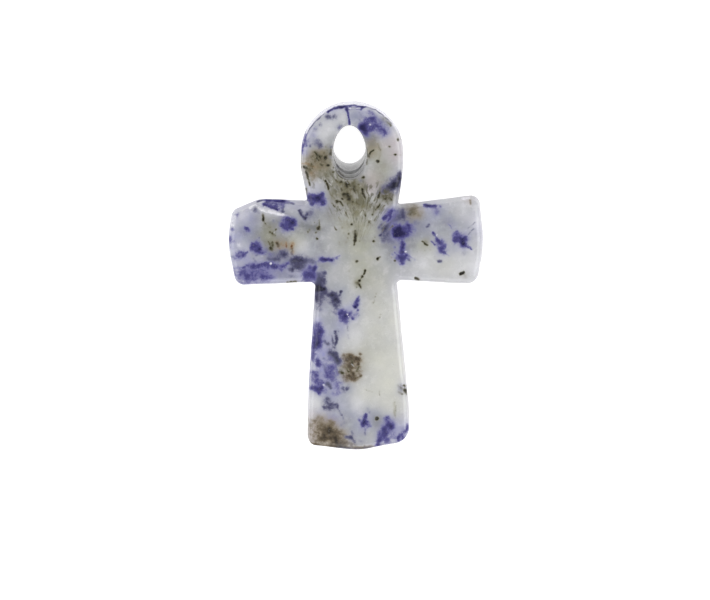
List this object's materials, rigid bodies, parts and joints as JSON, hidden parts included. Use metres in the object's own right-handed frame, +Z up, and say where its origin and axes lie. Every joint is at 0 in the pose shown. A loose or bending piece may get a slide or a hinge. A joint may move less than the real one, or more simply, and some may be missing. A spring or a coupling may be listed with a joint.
{
  "type": "stone ankh pendant",
  "caption": "Flat tumbled stone ankh pendant: round head with an oval hanging hole, two straight arms and a shaft that flares to the foot, white stone with blue and brown spots.",
  "frame": {"origin": "middle of the outline's box, in the flat back face that the pendant lies on", "axes": "+X along the arms, to the right as the picture shows them; +Y from the foot to the pierced head; +Z up, out of the front face"},
  "size_m": [0.0256, 0.0348, 0.006],
  "materials": {
    "stone": "glossy polish, milky white with indigo, brown and black spots"
  },
  "bodies": {
    "root": {"ankh": "stone"}
  },
  "joints": []
}
